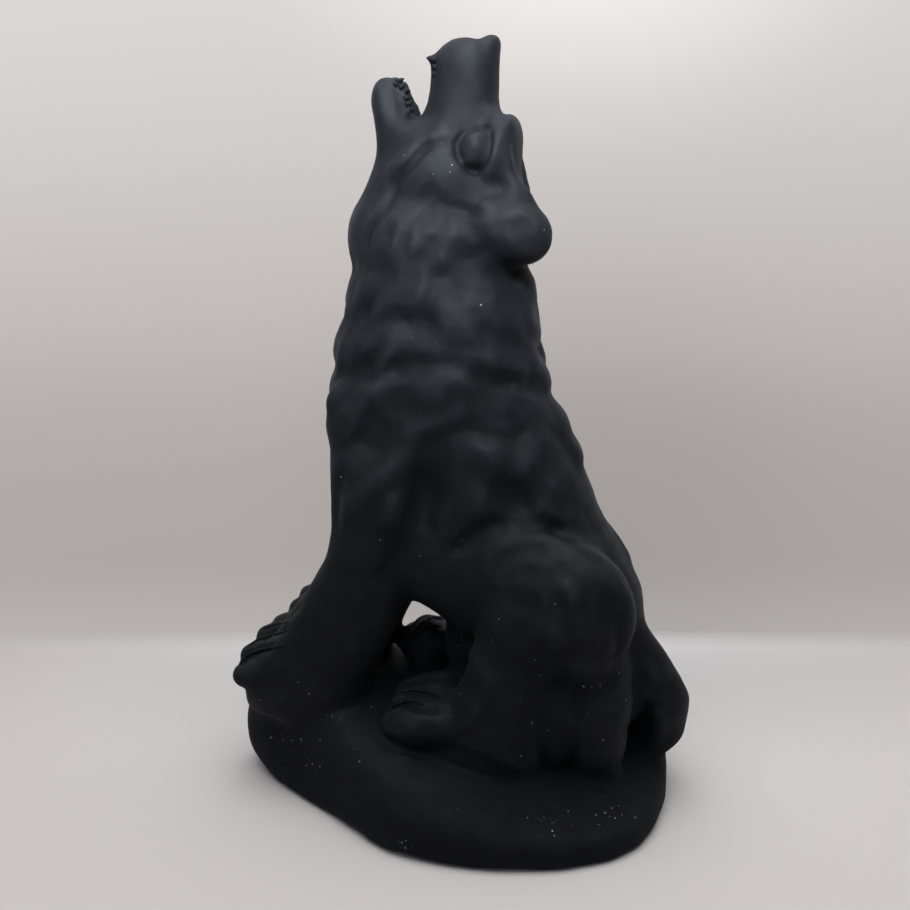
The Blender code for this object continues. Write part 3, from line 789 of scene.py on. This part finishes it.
# Heights in metres: above the first all is the wolf's paint, below the second all is the rock's painted shade
# and roughness
ROCK_LIP = (0.0215, 0.0150)
FILM_GREY = (0.09, 0.09, 0.094, 1.0)
FILM_SHARE = 0.22
RUB_GLOSS = 0.10


def paint_group():
    """The varying colour, roughness and grain of the matt black paint, with painted shade in the hollows and on
    the rock.
    """
    tree = bpy.data.node_groups.new("matt_paint", "ShaderNodeTree")
    socket(tree, "Where", "NodeSocketVector")
    socket(tree, "Bend", "NodeSocketFloat", 0.5)
    socket(tree, "Colour", "NodeSocketColor", out=True)
    socket(tree, "Roughness", "NodeSocketFloat", out=True)
    socket(tree, "Grain", "NodeSocketFloat", out=True)
    s = Sheet(tree)
    entry = s.node("NodeGroupInput", (-900, 0))
    leave = s.node("NodeGroupOutput", (900, 0))
    where, bend = entry.outputs["Where"], entry.outputs["Bend"]
    cloud = s.noise((-700, 300), where, 38.0, 4.0, 0.55)
    fine = s.noise((-700, 60), where, 420.0, 5.0, 0.6)
    grit = s.noise((-700, -180), where, 1500.0, 3.0, 0.6)
    tone = s.remap((-480, 300), cloud, 0.35, 0.68)
    ridge = s.remap((-480, -420), bend, 0.55, 0.86)
    hollow = s.remap((-480, -640), bend, 0.46, 0.2)
    rub = s.times((-260, -420), ridge, s.remap((-480, 60), fine, 0.35, 0.62, 0.35, 1.0))
    black = s.blend((-260, 300), tone, *CLOUD_BLACKS)
    rubbed = s.blend((0, 220), rub, black, RUBBED_BLACK)
    # Painted shade: the colour darkens in the hollows, by the bend alone
    sunk = s.blend((220, 140), s.times((0, -560), hollow, HOLLOW_SHADE_SHARE), rubbed, HOLLOW_SHADE_BLACK)
    film = s.times((220, -200), s.remap((0, -260), grit, 0.6, 0.78), s.remap((0, -40), cloud, 0.5, 0.7))
    height = s.node("ShaderNodeSeparateXYZ", (-480, 520))
    s.join(where, height.inputs["Vector"])
    # Painted shade: below the rock's lip the colour darkens towards the rock's black
    low = s.remap((220, 420), height.outputs["Z"], *ROCK_LIP)
    rock_shaded = s.blend((340, 300), s.times((280, 360), low, ROCK_SHADE_SHARE), sunk, ROCK_SHADE_BLACK)
    dusty = s.blend((460, 120), s.times((400, -260), film, FILM_SHARE), rock_shaded, FILM_GREY)
    flat = s.remap((220, -420), fine, 0.3, 0.7, 0.56, 0.70)
    gloss = s.maths((340, -420), "ADD", flat, s.times((280, 420), low, ROCK_ROUGHER))
    worn = s.maths((460, -420), "SUBTRACT", gloss, s.times((220, -600), rub, RUB_GLOSS))
    grain = s.maths((460, -620), "ADD", s.times((220, -760), fine, 0.75), s.times((220, -900), grit, 0.25))
    s.join(dusty, leave.inputs["Colour"])
    s.join(worn, leave.inputs["Roughness"])
    s.join(grain, leave.inputs["Grain"])
    return tree


def paint(name, group):
    """The material that wears the paint group."""
    made = bpy.data.materials.new(name)
    made.use_nodes = True
    s = Sheet(made.node_tree)
    shader = made.node_tree.nodes["Principled BSDF"]
    places = s.node("ShaderNodeTexCoord", (-900, 0))
    bend = s.node("ShaderNodeAttribute", (-900, -300), attribute_name="bend")
    wear = s.node("ShaderNodeGroup", (-600, 0), node_tree=group)
    s.join(places.outputs["Object"], wear.inputs["Where"])
    s.join(bend.outputs["Fac"], wear.inputs["Bend"])
    grain = s.node("ShaderNodeBump", (-260, -300))
    give(grain, {"Strength": 0.35, "Distance": 0.00018})
    s.join(wear.outputs["Grain"], grain.inputs["Height"])
    s.join(wear.outputs["Colour"], shader.inputs["Base Color"])
    s.join(wear.outputs["Roughness"], shader.inputs["Roughness"])
    s.join(grain.outputs["Normal"], shader.inputs["Normal"])
    give(shader, {"Specular IOR Level": 0.17, "IOR": 1.48, "Sheen Weight": 0.02, "Sheen Roughness": 0.6,
                  "Sheen Tint": (0.80, 0.88, 1.0, 1.0)})
    return made


matt_black = paint("matt_black_paint", paint_group())
casting.data.materials.clear()
casting.data.materials.append(matt_black)
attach(casting, "root")
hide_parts("wolf_figurine")
claws.data.materials.append(matt_black)
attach(claws, "root")
print("paint on", casting.name)

# %% [markdown]
# ## Dust and lint
# A matt black casting shows every speck of dust. The larger specks of the picture are placed along the
# camera's lines of sight, one by one or as small clusters, and a thin fall of tiny ones is scattered
# over the skin, thicker on what faces up. Each is a small bent flake that lies on the paint, not a spot in
# its colour, because real dust catches the light from every side.

# %% Shape one flake
FLAKE_RADIUS = 0.135 * MM
FLAKE_RIM = [1.0, 0.72, 1.05, 0.8, 0.95, 0.66, 0.88]


def make_flake():
    """A flat closed flake with an uneven rim, lying on its local xy plane."""
    shape = bmesh.new()
    rim = []
    for i, reach in enumerate(FLAKE_RIM):
        a = 2.0 * math.pi * i / len(FLAKE_RIM)
        lift = 0.12 if i % 2 else 0.3
        rim.append(shape.verts.new(Vector((math.cos(a) * reach, math.sin(a) * reach, lift)) * FLAKE_RADIUS))
    top = shape.verts.new(Vector((0.1, 0.0, 0.5)) * FLAKE_RADIUS)
    bottom = shape.verts.new(Vector((0.0, 0.0, -0.1)) * FLAKE_RADIUS)
    for i, corner in enumerate(rim):
        following = rim[(i + 1) % len(rim)]
        shape.faces.new((corner, following, top))
        shape.faces.new((following, corner, bottom))
    return bpy.data.objects.new("dust_flake", written(shape, bpy.data.meshes.new("dust_flake")))


# %% Place the specks of the picture
# Point of the picture and size of the flake
SPECKS = [(481, 305, 2.0), (433, 174, 1.5), (452, 165, 1.3), (450, 172, 1.0), (384, 222, 1.4), (387, 166, 1.2),
          (404, 155, 1.0), (544, 230, 1.3), (524, 165, 1.0), (260, 700, 1.8), (298, 682, 1.5), (309, 694, 1.4),
          (332, 716, 1.5), (371, 707, 1.6), (440, 697, 1.5), (460, 694, 1.3), (341, 477, 1.5), (420, 556, 1.2),
          (380, 540, 1.2), (461, 540, 1.1), (499, 619, 1.5), (492, 640, 1.4), (555, 604, 1.3), (535, 660, 1.4),
          (540, 675, 1.2), (595, 670, 1.5), (619, 673, 1.8), (626, 700, 1.7), (532, 723, 1.4), (548, 730, 1.2),
          (521, 756, 1.4), (603, 740, 1.6), (614, 768, 1.5), (633, 784, 1.3)]
# Middle of a cluster, how far it spreads and how many flakes it has
CLUSTERS = [(280, 736, 13, 10), (308, 762, 26, 16), (404, 844, 12, 8), (546, 822, 17, 16), (613, 818, 18, 14),
            (600, 686, 20, 6), (455, 640, 16, 4), (350, 740, 26, 5)]
CLUSTER_SEED = 11
CLUSTER_WIDE, CLUSTER_HIGH = 0.6, 0.35
SMALLEST, SPAN = 0.6, 1.8


def picture_specks(skin):
    """One point on the skin for each speck that the picture shows, with its size and the way it faces."""
    tree = tree_of(skin)
    chance = random.Random(CLUSTER_SEED)
    marks = list(SPECKS)
    for u, v, spread, count in CLUSTERS:
        for _ in range(count):
            spot = chance.gauss(u, spread * CLUSTER_WIDE), chance.gauss(v, spread * CLUSTER_HIGH)
            marks.append((*spot, SMALLEST + SPAN * chance.random() ** 2))
    found = []
    for u, v, size in marks:
        place, normal, _, _ = tree.ray_cast(eye_point, line_of_sight(u, v))
        if place is not None:
            found.append((place, normal, size))
    mesh = bpy.data.meshes.new("dust_specks")
    mesh.from_pydata([f[0] for f in found], [], [])
    facing = mesh.attributes.new("facing", "FLOAT_VECTOR", "POINT")
    facing.data.foreach_set("vector", [c for f in found for c in f[1]])
    number_layer(mesh, "size", [f[2] for f in found])
    return added("dust_specks", mesh)


# %% Grow the tree that lays the flakes
def dust_tree():
    """Flakes on every given point, and a thin fall of smaller ones over the skin."""
    tree = bpy.data.node_groups.new("lay_dust", "GeometryNodeTree")
    socket(tree, "Geometry", "NodeSocketGeometry")
    socket(tree, "Skin", "NodeSocketObject")
    socket(tree, "Flake", "NodeSocketObject")
    socket(tree, "Density", "NodeSocketFloat", 20000.0)
    socket(tree, "Seed", "NodeSocketInt", 1)
    socket(tree, "Dust", "NodeSocketMaterial")
    socket(tree, "Geometry", "NodeSocketGeometry", out=True)
    s = Sheet(tree)
    entry, leave = s.node("NodeGroupInput", (-1000, 0)), s.node("NodeGroupOutput", (1000, 0))
    skin, flake = s.node("GeometryNodeObjectInfo", (-800, 200)), s.node("GeometryNodeObjectInfo", (-800, -300))
    s.join(entry.outputs["Skin"], skin.inputs["Object"])
    s.join(entry.outputs["Flake"], flake.inputs["Object"])
    normal, split = s.node("GeometryNodeInputNormal", (-800, 460)), s.node("ShaderNodeSeparateXYZ", (-640, 460))
    s.join(normal.outputs["Normal"], split.inputs["Vector"])
    upward = s.remap((-460, 460), split.outputs["Z"], -0.3, 0.9, 0.08, 1.0)
    density = s.times((-280, 420), upward, entry.outputs["Density"])
    fall = s.node("GeometryNodeDistributePointsOnFaces", (-280, 200), distribute_method="RANDOM")
    s.join(skin.outputs["Geometry"], fall.inputs["Mesh"])
    s.join(density, fall.inputs["Density"])
    s.join(entry.outputs["Seed"], fall.inputs["Seed"])
    size = s.node("FunctionNodeRandomValue", (-280, -80), data_type="FLOAT")
    port(size.inputs, "VALUE", "Min").default_value = 0.25
    port(size.inputs, "VALUE", "Max").default_value = 0.8
    s.join(entry.outputs["Seed"], size.inputs["Seed"])
    fallen = s.node("GeometryNodeInstanceOnPoints", (60, 200))
    s.join(fall.outputs["Points"], fallen.inputs["Points"])
    s.join(fall.outputs["Rotation"], fallen.inputs["Rotation"])
    s.join(port(size.outputs, "VALUE"), fallen.inputs["Scale"])
    facing = s.node("GeometryNodeInputNamedAttribute", (-500, -480), data_type="FLOAT_VECTOR")
    facing.inputs["Name"].default_value = "facing"
    spin = s.node("FunctionNodeAlignRotationToVector", (-280, -480), axis="Z")
    s.join(port(facing.outputs, "VECTOR"), spin.inputs["Vector"])
    width = s.node("GeometryNodeInputNamedAttribute", (-280, -660), data_type="FLOAT")
    width.inputs["Name"].default_value = "size"
    placed = s.node("GeometryNodeInstanceOnPoints", (60, -300))
    s.join(entry.outputs["Geometry"], placed.inputs["Points"])
    s.join(spin.outputs["Rotation"], placed.inputs["Rotation"])
    s.join(port(width.outputs, "VALUE"), placed.inputs["Scale"])
    both = s.node("GeometryNodeJoinGeometry", (300, 0))
    for layer in (fallen, placed):
        s.join(flake.outputs["Geometry"], layer.inputs["Instance"])
        s.join(layer.outputs["Instances"], both.inputs["Geometry"])
    real, wear = s.node("GeometryNodeRealizeInstances", (500, 0)), s.node("GeometryNodeSetMaterial", (720, 0))
    s.join(both.outputs["Geometry"], real.inputs["Geometry"])
    s.join(real.outputs["Geometry"], wear.inputs["Geometry"])
    s.join(entry.outputs["Dust"], wear.inputs["Material"])
    s.join(wear.outputs["Geometry"], leave.inputs["Geometry"])
    return tree


# %% Lay the dust
DUST_DENSITY = 9000.0
DUST_SEED = 5
DUST_GREYS = ((0.10, 0.10, 0.105, 1.0), (0.42, 0.42, 0.43, 1.0))


def dust_paint():
    """Pale grey lint, a little uneven from flake to flake."""
    made = bpy.data.materials.new("pale_dust")
    made.use_nodes = True
    s = Sheet(made.node_tree)
    shader = made.node_tree.nodes["Principled BSDF"]
    places = s.node("ShaderNodeTexCoord", (-700, 0))
    uneven = s.remap((-300, 0), s.noise((-500, 0), places.outputs["Object"], 700.0, 2.0), 0.35, 0.65)
    s.join(s.blend((-100, 0), uneven, *DUST_GREYS), shader.inputs["Base Color"])
    give(shader, {"Roughness": 0.9, "Specular IOR Level": 0.2})
    return made


def lay_dust(skin):
    """The flakes as one plain mesh, held inside the box of the solid."""
    dust, flake = picture_specks(skin), make_flake()
    layer = dust.modifiers.new("lay_dust", "NODES")
    layer.node_group = dust_tree()
    given = {"Skin": skin, "Flake": flake, "Density": DUST_DENSITY, "Seed": DUST_SEED, "Dust": dust_paint()}
    for item in layer.node_group.interface.items_tree:
        if item.item_type == "SOCKET" and item.in_out == "INPUT" and item.name in given:
            layer[item.identifier] = given[item.name]
    apply_all(dust)
    bpy.data.objects.remove(flake, do_unlink=True)
    hold_in(dust.data, cad_box)
    return dust


dust = lay_dust(casting)
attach(dust, "root")
print("dust flakes", len(dust.data.polygons) // (2 * len(FLAKE_RIM)))

# %% [markdown]
# ## The light tent
# The photograph was taken in a small tent of grey-white paper: a floor that turns up into a back wall
# just behind the rock. It is one swept sheet, square to the camera, and its reverse is clear, so that a
# view from behind looks through it. The floor is real paper that takes the wolf's shadow.

# %% Sweep the paper
# Metres: how far behind the rock the wall stands, the radius of its foot, and the sheet's size
PAPER_BEHIND = 0.118
PAPER_BEND = 0.018
PAPER_TOP = 0.62
PAPER_SIDE = 1.1
PAPER_FRONT = 1.2
BEND_STEPS = 12


def paper_sheet():
    """A floor that turns up into a wall: x is to the camera's right, y is away from it, z is up."""
    foot = PAPER_BEHIND - PAPER_BEND
    line = [(-PAPER_FRONT, 0.0), (foot, 0.0)]
    for i in range(1, BEND_STEPS + 1):
        a = math.pi / 2 * i / BEND_STEPS
        line.append((foot + PAPER_BEND * math.sin(a), PAPER_BEND * (1.0 - math.cos(a))))
    line.append((PAPER_BEHIND, PAPER_TOP))
    shape = bmesh.new()
    rows = [[shape.verts.new((side, along, height)) for side in (-PAPER_SIDE, PAPER_SIDE)]
            for along, height in line]
    for low, high in zip(rows, rows[1:]):
        shape.faces.new((low[0], low[1], high[1], high[0]))
    mesh = written(shape, bpy.data.meshes.new("tent_paper"))
    smooth_faces(mesh)
    sheet = added("tent_paper", mesh)
    sheet.matrix_world = Matrix.Translation(FRAME_SHIFT) @ Matrix.Rotation(SIGHT_AZIMUTH, 4, "Z")
    return sheet


# %% [markdown]
# ## The grey of the back wall
# Behind the wolf the wall is a soft grey that is darkest near its foot and brightest at the top middle, where
# the tent's lamp is near. That light and shade are painted: the camera sees the wall glow with the greys
# written below, by height, with a painted patch of glow and one of painted shade, and the floor has a painted
# patch of shade behind the rock. To the lamps and the wolf the floor throws back less than the camera sees
# of it, because the real floor ends close to the rock.

# %% Colour the paper
PAPER_WHITE = (0.745, 0.706, 0.690, 1.0)
PAPER_SHADE = (0.510, 0.482, 0.470, 1.0)
PAPER_BOUNCE = (0.42, 0.405, 0.40, 1.0)
# Height in metres and grey of the wall's painted light and shade: the foot, the darkest band, the middle and
# the top
WALL_GREYS = [(0.0, 0.46, 0.435, 0.42), (0.035, 0.41, 0.384, 0.368), (0.112, 0.50, 0.47, 0.455),
              (0.24, 0.69, 0.668, 0.655)]
WALL_SPAN = 0.25
# Heights in metres between which the floor's colour turns into the wall's
WALL_FOOT = (0.0002, 0.0045)
# From left to right, in metres, and the painted light added to the wall's brightness there
WALL_SLANT = (-0.17, 0.17, 0.04, -0.02)
# Soft patches of painted glow and painted shade on the paper: centre and radii in metres, a radius of 0 leaving
# its axis out, and strength
WALL_GLOW = ((0.045, 0.0, 0.262), (0.150, 0.0, 0.100), 0.30)
WALL_SHADE = ((0.045, 0.0, 0.055), (0.150, 0.0, 0.150), 0.13)
FLOOR_SHADE = ((0.020, 0.085, 0.0), (0.190, 0.105, 0.0), 0.85)


def patch(s, place, where, centre, radii, strength):
    """A soft round mask on the paper, strongest in its middle and nothing beyond its radii."""
    x, y = place
    moved = s.node("ShaderNodeMapping", place)
    s.join(where, moved.inputs["Vector"])
    give(moved, {"Location": [-c / r if r else 0.0 for c, r in zip(centre, radii)],
                 "Scale": [1.0 / r if r else 0.0 for r in radii]})
    far = s.node("ShaderNodeVectorMath", (x + 180, y), operation="LENGTH")
    s.join(moved.outputs["Vector"], far.inputs[0])
    soft = s.remap((x + 360, y), far.outputs["Value"], 1.0, 0.0, interpolation_type="SMOOTHERSTEP")
    return s.times((x + 600, y), soft, strength)


def paper_paint():
    """Plain paper for the floor, with a patch of painted shade, and for the camera a wall of painted light and
    shade, clear from behind.
    """
    made = bpy.data.materials.new("tent_paper")
    made.use_nodes = True
    s = Sheet(made.node_tree)
    shader, leave = made.node_tree.nodes["Principled BSDF"], made.node_tree.nodes["Material Output"]
    path = s.node("ShaderNodeLightPath", (-200, 500))
    give(shader, {"Roughness": 0.9, "Specular IOR Level": 0.1})
    where = s.node("ShaderNodeTexCoord", (-1300, 0)).outputs["Object"]
    split = s.node("ShaderNodeSeparateXYZ", (-1100, 0))
    s.join(where, split.inputs["Vector"])
    ramp = s.node("ShaderNodeValToRGB", (-700, 0))
    ramp.color_ramp.interpolation = "CARDINAL"
    stops = ramp.color_ramp.elements
    for index, (z, *grey) in enumerate(WALL_GREYS):
        stop = stops[index] if index < 2 else stops.new(z / WALL_SPAN)
        stop.position, stop.color = z / WALL_SPAN, (*grey, 1.0)
    s.join(s.remap((-900, 0), split.outputs["Z"], 0.0, WALL_SPAN), ramp.inputs["Fac"])
    # Painted light and shade of the wall: a glow patch, a slant from left to right and a shade patch
    glow = s.maths((-20, -200), "ADD", patch(s, (-800, -300), where, *WALL_GLOW), 1.0)
    slant = s.remap((-400, -740), split.outputs["X"], *WALL_SLANT)
    lit = s.maths((-20, -300), "ADD", glow, slant)
    level = s.maths((0, -400), "SUBTRACT", lit, patch(s, (-800, -520), where, *WALL_SHADE))
    # Painted light and shade: the wall glows for the camera alone, with its greys, glow, slant and shade
    wall = s.node("ShaderNodeEmission", (200, -100))
    s.join(ramp.outputs["Color"], wall.inputs["Color"])
    s.join(level, wall.inputs["Strength"])
    reverse = s.node("ShaderNodeNewGeometry", (0, 300))
    above = s.remap((0, 500), split.outputs["Z"], *WALL_FOOT)
    bright = s.maths((0, 640), "MAXIMUM", above, path.outputs["Is Camera Ray"])
    # Painted shade: a soft patch darkens the floor's colour behind the rock
    floor = s.blend((180, 860), patch(s, (-800, 860), where, *FLOOR_SHADE), PAPER_WHITE, PAPER_SHADE)
    s.join(s.blend((180, 700), bright, PAPER_BOUNCE, floor), shader.inputs["Base Color"])
    seen = s.times((200, 500), above, path.outputs["Is Camera Ray"])
    front, both = s.node("ShaderNodeMixShader", (420, 100)), s.node("ShaderNodeMixShader", (640, 100))
    clear = s.node("ShaderNodeBsdfTransparent", (420, -100))
    for mixer, factor, first, second in ((front, seen, shader, wall),
                                         (both, reverse.outputs["Backfacing"], front, clear)):
        s.join(factor, mixer.inputs[0])
        s.join(first.outputs[0], mixer.inputs[1])
        s.join(second.outputs[0], mixer.inputs[2])
    s.join(both.outputs[0], leave.inputs["Surface"])
    return made


paper = paper_sheet()
paper.data.materials.append(paper_paint())
print("paper rows", len(paper.data.vertices) // 2)

# %% [markdown]
# ## Light
# The picture's light comes from above: in it the head is two to three times as bright as the rock. A soft
# panel is the tent's roof, which lights the paper and all that faces up. Two small cool panels high in front
# reach the wolf, one of them the head alone, so that the light falls off down the body. A weak even grey
# stands for what the paper throws back from all round.

# %% Light the tent
WORLD_LEVEL = 0.11
WORLD_TINT = (0.92, 0.95, 1.0, 1.0)
BEYOND_PAPER = (0.62, 0.60, 0.595, 1.0)
ROOF_POWER = 2.15
ROOF_SIZE = 0.50
ROOF_HEIGHT = 0.48
ROOF_AHEAD = 0.10
# Name, power, size, away from the rock, to the left, height, height of the aim, spread in degrees
FRONT_LAMPS = [("tent_front", 0.08, 0.26, 0.24, 0.035, 0.345, 0.200, 46.0),
               ("tent_head", 0.085, 0.12, 0.22, 0.020, 0.360, 0.185, 24.0)]
FRONT_TINT = (0.78, 0.89, 1.0)


def panel(name, size, power, where, aim):
    """A square soft lamp that the camera doesn't see, aimed at a point."""
    light = bpy.data.lights.new(name, "AREA")
    light.shape, light.size, light.energy = "SQUARE", size, power
    lamp = added(name, light)
    turned = (where - aim).to_track_quat("Z", "Y").to_matrix().to_4x4()
    lamp.matrix_world = Matrix.Translation(where) @ turned
    lamp.visible_camera = False
    return light


def tent_world():
    """Even grey light from all round; past the paper the camera sees a plain pale grey."""
    world = bpy.data.worlds.new("tent_light")
    bpy.context.scene.world = world
    world.use_nodes = True
    s = Sheet(world.node_tree)
    fill = world.node_tree.nodes["Background"]
    give(fill, {"Color": WORLD_TINT, "Strength": WORLD_LEVEL})
    seen = s.node("ShaderNodeBackground", (0, -200))
    give(seen, {"Color": BEYOND_PAPER})
    path, choose = s.node("ShaderNodeLightPath", (0, 300)), s.node("ShaderNodeMixShader", (240, 0))
    s.join(path.outputs["Is Camera Ray"], choose.inputs[0])
    s.join(fill.outputs[0], choose.inputs[1])
    s.join(seen.outputs[0], choose.inputs[2])
    s.join(choose.outputs[0], world.node_tree.nodes["World Output"].inputs["Surface"])


tent_world()
towards_camera = Vector((look_back.x, look_back.y, 0.0)).normalized()
below_roof = FRAME_SHIFT + towards_camera * ROOF_AHEAD
panel("tent_roof", ROOF_SIZE, ROOF_POWER, below_roof + Vector((0.0, 0.0, ROOF_HEIGHT)), below_roof)
for name, power, size, away, left, height, aim, spread in FRONT_LAMPS:
    spot = FRAME_SHIFT + towards_camera * away - look_right * left + Vector((0.0, 0.0, height))
    light = panel(name, size, power, spot, FRAME_SHIFT + Vector((0.0, 0.0, aim)))
    light.spread, light.color = math.radians(spread), FRONT_TINT
bpy.context.scene.view_settings.view_transform = "Standard"
print("light ready")
